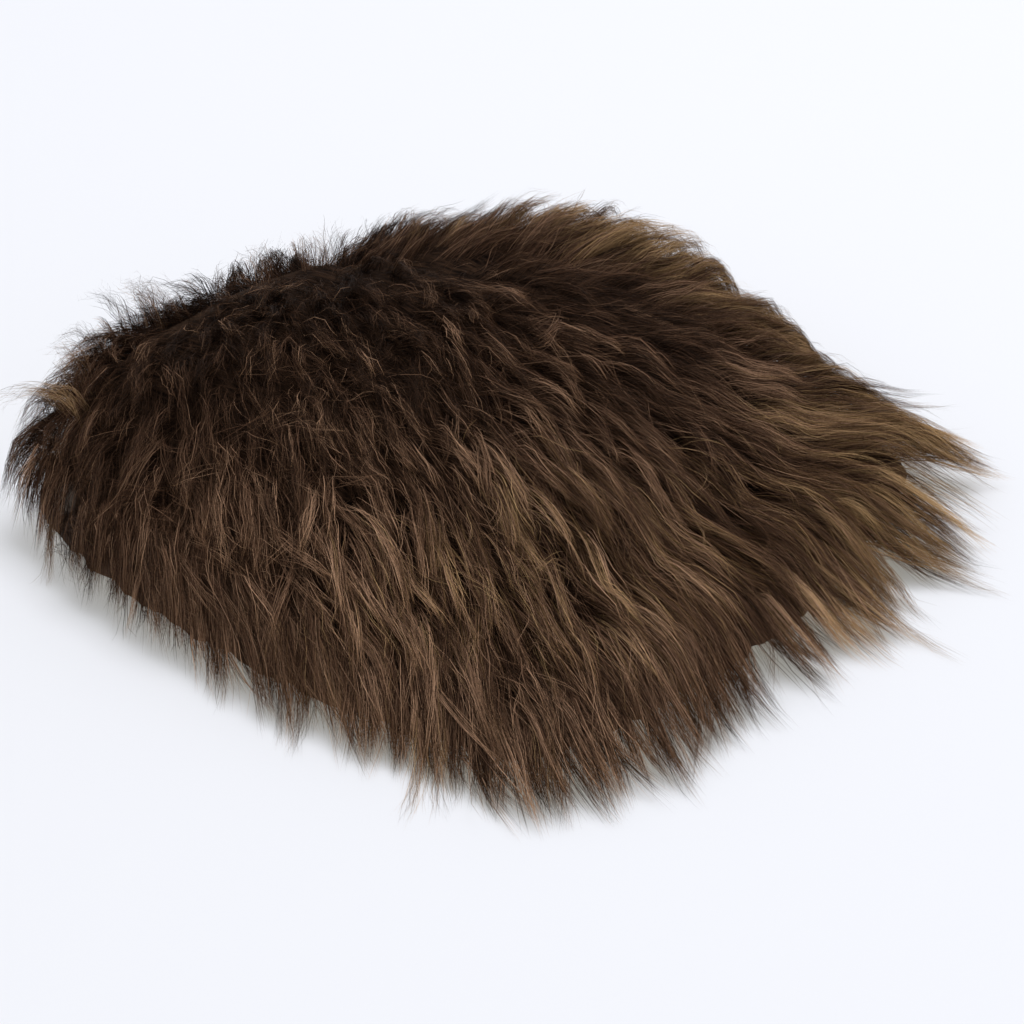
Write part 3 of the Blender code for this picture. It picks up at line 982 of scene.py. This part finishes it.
def noise(tree, scale, detail, stretch=(1, 1, 1), turn=0.0):
    """Noise in the object's own coordinates, turned about Z and stretched along each axis."""
    coordinates = tree.nodes.new("ShaderNodeTexCoord")
    mapping = tree.nodes.new("ShaderNodeMapping")
    mapping.inputs["Scale"].default_value = stretch
    mapping.inputs["Rotation"].default_value = (0, 0, turn)
    node = tree.nodes.new("ShaderNodeTexNoise")
    node.inputs["Scale"].default_value = scale
    node.inputs["Detail"].default_value = detail
    tree.links.new(coordinates.outputs["Object"], mapping.inputs["Vector"])
    tree.links.new(mapping.outputs["Vector"], node.inputs["Vector"])
    return node.outputs["Fac"]


def distance(tree, place, reach):
    """From 0 at a place of the object to 1 at a reach from it."""
    coordinates = tree.nodes.new("ShaderNodeTexCoord")
    apart = tree.nodes.new("ShaderNodeVectorMath")
    apart.operation = "DISTANCE"
    apart.inputs[1].default_value = place
    share = tree.nodes.new("ShaderNodeMath")
    share.operation = "DIVIDE"
    share.inputs[1].default_value = reach
    tree.links.new(coordinates.outputs["Object"], apart.inputs[0])
    tree.links.new(apart.outputs["Value"], share.inputs[0])
    return share.outputs["Value"]


def bump(tree, shader, height, strength, depth):
    node = tree.nodes.new("ShaderNodeBump")
    node.inputs["Strength"].default_value = strength
    node.inputs["Distance"].default_value = depth
    tree.links.new(height, node.inputs["Height"])
    tree.links.new(node.outputs["Normal"], shader.inputs["Normal"])


def fibre_material():
    """Brown wool, golden in the upper half of the tones. A fibre is darkest at its root, partly
    painted shade deep in the wool and partly the root's own colour.
    """
    material, tree, shader = new_material("brown_wool", roughness=0.5, specular=0.04)
    body = ramp(tree, value_of(tree, "tone"), FIBRE_COLOURS)
    # Darker towards the root: painted shade deep in the wool, partly the root's own colour.
    root_shade_and_tint = ramp(tree, value_of(tree, "along"), FIBRE_ROOT_SHADE_AND_TIP_TINT)
    tree.links.new(blend(tree, "MULTIPLY", body, root_shade_and_tint), shader.inputs["Base Color"])
    return material


def mat_material():
    """Matted wool, painted near-black as the shade between the locks, with streaks along the flow,
    lighter towards its rim where less shade is painted, and one worn place.
    """
    material, tree, shader = new_material("matted_wool", roughness=0.9, specular=0.03)
    streaks = noise(tree, scale=900, detail=3, stretch=(0.12, 1, 1), turn=FLOW_TURN)
    # Near-black inside: painted shade between the locks.
    shaded_inner = ramp(tree, streaks, MAT_SHADE_STREAKS)
    outer = ramp(tree, value_of(tree, "edge"), MAT_EDGE)
    wool = blend(tree, "ADD", shaded_inner, outer)
    worn = ramp(tree, distance(tree, WORN_PLACE, WORN_REACH), WORN_SKIN)
    tree.links.new(blend(tree, "ADD", wool, worn), shader.inputs["Base Color"])
    bump(tree, shader, streaks, strength=0.8, depth=0.001)
    return material


def skin_material():
    """Tanned skin with a suede-like nap and a faint mottle."""
    material, tree, shader = new_material("tanned_skin", roughness=0.85)
    mottle = noise(tree, scale=28, detail=5)
    tree.links.new(ramp(tree, mottle, SKIN_MOTTLE), shader.inputs["Base Color"])
    bump(tree, shader, noise(tree, scale=900, detail=4), strength=0.5, depth=0.0006)
    return material


def make_skin():
    """The tanned skin: a finer copy of its solid, with its cut edges kept."""
    bm = bmesh.new()
    bm.from_mesh(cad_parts["hide"].data)
    bmesh.ops.remove_doubles(bm, verts=bm.verts, dist=SKIN_WELD)
    crease = bm.edges.layers.float.new("crease_edge")
    for edge in bm.edges:
        if edge.is_manifold and edge.calc_face_angle() > SKIN_EDGE_ANGLE:
            edge[crease] = SKIN_EDGE_CREASE
    mesh = bpy.data.meshes.new("skin")
    bm.to_mesh(mesh)
    bm.free()
    skin = new_piece("skin", mesh, skin_material())
    finer = skin.modifiers.new("finer", "SUBSURF")
    finer.levels = 1
    finer.render_levels = 1
    mesh.shade_smooth()
    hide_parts("hide")


def mat_rings(fields, rim, shares):
    """Rings of the mat's points, out over its top to the rim and back below."""
    angles = np.linspace(0, 2 * math.pi, MAT_ANGLES, endpoint=False)
    reach = np.interp(angles, *rim, period=2 * math.pi)
    full_depth = MAT_DEPTH + MAT_ROOT_DEPTH * root_share(angles)
    rings = []
    for k, share in enumerate(shares):
        x = reach * share * np.cos(angles)
        y = reach * share * np.sin(angles)
        under = fields["under"].at(x, y)
        if k < len(MAT_SHARES) - 1:
            edge = 1 - share**MAT_EDGE_POWER
            depth = full_depth * (fields["top"].at(x, y) - under) * edge
            z = under + np.maximum(depth, MAT_LEAST_DEPTH)
        else:
            z = under + MAT_UNDERSIDE
        rings.append(np.stack((x, y, np.maximum(z, LOWEST)), 1))
    return rings


def make_mat(fields, rim):
    """The matted wool at the roots: one closed form with a face at the middle of each side."""
    shares = MAT_SHARES + MAT_SHARES[-2::-1]
    places = np.concatenate(mat_rings(fields, rim, shares))
    ring = np.arange(MAT_ANGLES)
    after = (ring + 1) % MAT_ANGLES
    faces = []
    for k in range(len(shares) - 1):
        first, second = k * MAT_ANGLES, (k + 1) * MAT_ANGLES
        faces += np.stack((first + ring, second + ring, second + after, first + after), 1).tolist()
    faces.append(ring[::-1].tolist())
    faces.append(((len(shares) - 1) * MAT_ANGLES + ring).tolist())
    mesh = bpy.data.meshes.new("wool_mat")
    mesh.from_pydata(places.tolist(), [], faces)
    bm = bmesh.new()
    bm.from_mesh(mesh)
    bmesh.ops.recalc_face_normals(bm, faces=bm.faces)
    bm.to_mesh(mesh)
    bm.free()
    mesh.shade_smooth()
    mark_points(mesh, "edge", np.repeat(np.array(shares) ** MAT_EDGE_FADE, MAT_ANGLES))
    mat = new_piece("wool_mat", mesh, mat_material())
    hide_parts("fleece")


def make_wool(fields, rims):
    """The locks of each style, in pieces of like size from the near side to the far one."""
    draw = np.random.default_rng(SEED)
    material = fibre_material()
    for style in STYLES:
        rim = rims[style["rim"]]
        roots = spread_roots(draw, fields, rim, style)
        points, outward, tone = grow_wool(draw, fields, *trace(draw, fields, rim, roots, style), style)
        order = np.argsort(points[:, 0, 1], kind="stable")
        for name, part in zip(style["names"], np.array_split(order, len(style["names"]))):
            fibres = points[part], outward[part], tone[part]
            piece = ribbons(name, draw, *fibres, style["half_width"], material)
            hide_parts("fleece")


def make_tufts(name, draw, fields, rims, rows, style):
    """Tufts that stand out of the outline, one for each row."""
    table = dict(zip(TUFT_COLUMNS, np.array(rows).T))
    roots = np.stack((table["x"], table["y"]), 1) + SKIN_PLACE
    rim, heading = rims[style["rim"]], np.radians(table["degrees"])
    path, lie, _, leave = trace(draw, fields, rim, roots, style, heading)
    for column in lie.keys() & table.keys():
        lie[column] = table[column]
    end = np.full(len(roots), TRACE_STEP * TRACE_STEPS)
    fibres = grow_wool(draw, fields, path, lie, end, leave, style)
    piece = ribbons(name, draw, *fibres, style["half_width"], fibre_material())
    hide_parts("fleece")


def make_loose_fibres(rim):
    """Shed fibres that lie curled on the floor beside the wool's rim."""
    draw = np.random.default_rng(SEED + 2)
    count = LOOSE_FIBRES
    angle = np.radians(draw.choice(LOOSE_PLACES, count) + draw.normal(0, LOOSE_SCATTER, count))
    reach = np.interp(angle, *rim, period=2 * math.pi) * draw.uniform(*LOOSE_REACH, count)
    place = np.stack((np.cos(angle), np.sin(angle)), 1) * reach[:, None]
    heading = angle + draw.normal(0, LOOSE_HEADING, count)
    turning = np.zeros(count)
    path = [place]
    for _ in range(LOOSE_ROWS - 1):
        turning = turning * LOOSE_TURN_KEPT + draw.normal(0, LOOSE_TURN, count)
        heading = heading + turning
        place = place + np.stack((np.cos(heading), np.sin(heading)), 1) * LOOSE_STEP
        path.append(place)
    path = np.stack(path, 1)
    points = np.concatenate((path, np.full((count, LOOSE_ROWS, 1), LOWEST)), 2)
    outward = np.zeros_like(points)
    outward[..., 2] = 1
    tone = 0.5 * draw.uniform(*LOOSE_TONES, count) + 0.5 * (draw.uniform(0, 1, count) < 0.5)
    piece = ribbons("loose_wool", draw, points, outward, tone, LOOSE_HALF_WIDTH, fibre_material())
    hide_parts("fleece")


def make_floor():
    bpy.ops.mesh.primitive_plane_add(size=FLOOR_SIZE)
    floor = bpy.context.object
    floor.name = "floor"
    material, _, shader = new_material("floor", roughness=0.9, specular=0.1)
    shader.inputs["Base Color"].default_value = FLOOR_COLOUR
    shader.inputs["Emission Color"].default_value = FLOOR_GLOW
    shader.inputs["Emission Strength"].default_value = FLOOR_GLOW_STRENGTH
    floor.data.materials.append(material)


def make_world():
    world = bpy.data.worlds.new("studio")
    bpy.context.scene.world = world
    world.use_nodes = True
    background = world.node_tree.nodes["Background"]
    background.inputs["Color"].default_value = SKY_COLOUR
    background.inputs["Strength"].default_value = SKY_STRENGTH
    bpy.context.scene.view_settings.view_transform = "Standard"


def make_light():
    """A wide soft light, high on the far side, that faces the origin."""
    light = bpy.data.lights.new("key", "AREA")
    light.size = LIGHT_SIZE
    light.energy = LIGHT_POWER
    obj = bpy.data.objects.new("key", light)
    bpy.context.scene.collection.objects.link(obj)
    obj.location = LIGHT_PLACE
    obj.rotation_euler = (-Vector(LIGHT_PLACE)).to_track_quat("-Z", "Y").to_euler()


def make_camera():
    data = bpy.data.cameras.new("camera")
    data.lens = LENS
    data.sensor_width = SENSOR
    camera = bpy.data.objects.new("camera", data)
    bpy.context.scene.collection.objects.link(camera)
    target = Vector((*SKIN_PLACE, 0.0))
    level = math.cos(ELEVATION)
    back = Vector((math.sin(AZIMUTH) * level, -math.cos(AZIMUTH) * level, math.sin(ELEVATION)))
    camera.location = target + CAMERA_DISTANCE * back
    camera.rotation_euler = back.to_track_quat("Z", "Y").to_euler()
    bpy.context.scene.camera = camera


def main():
    fleece = tree_of("fleece")
    fields = {"top": read_heights(fleece, True), "under": read_heights(fleece, False)}
    rims = find_rims(tree_of("hide"), fleece)
    make_skin()
    make_mat(fields, rims["mat"])
    make_wool(fields, rims)
    make_tufts("tufts", np.random.default_rng(SEED + 1), fields, rims, TUFTS, TUFT_STYLE)
    make_tufts("wisps", np.random.default_rng(SEED + 5), fields, rims, WISPS, WISP_STYLE)
    make_loose_fibres(rims["wool"])
    make_floor()
    make_world()
    make_light()
    make_camera()


main()
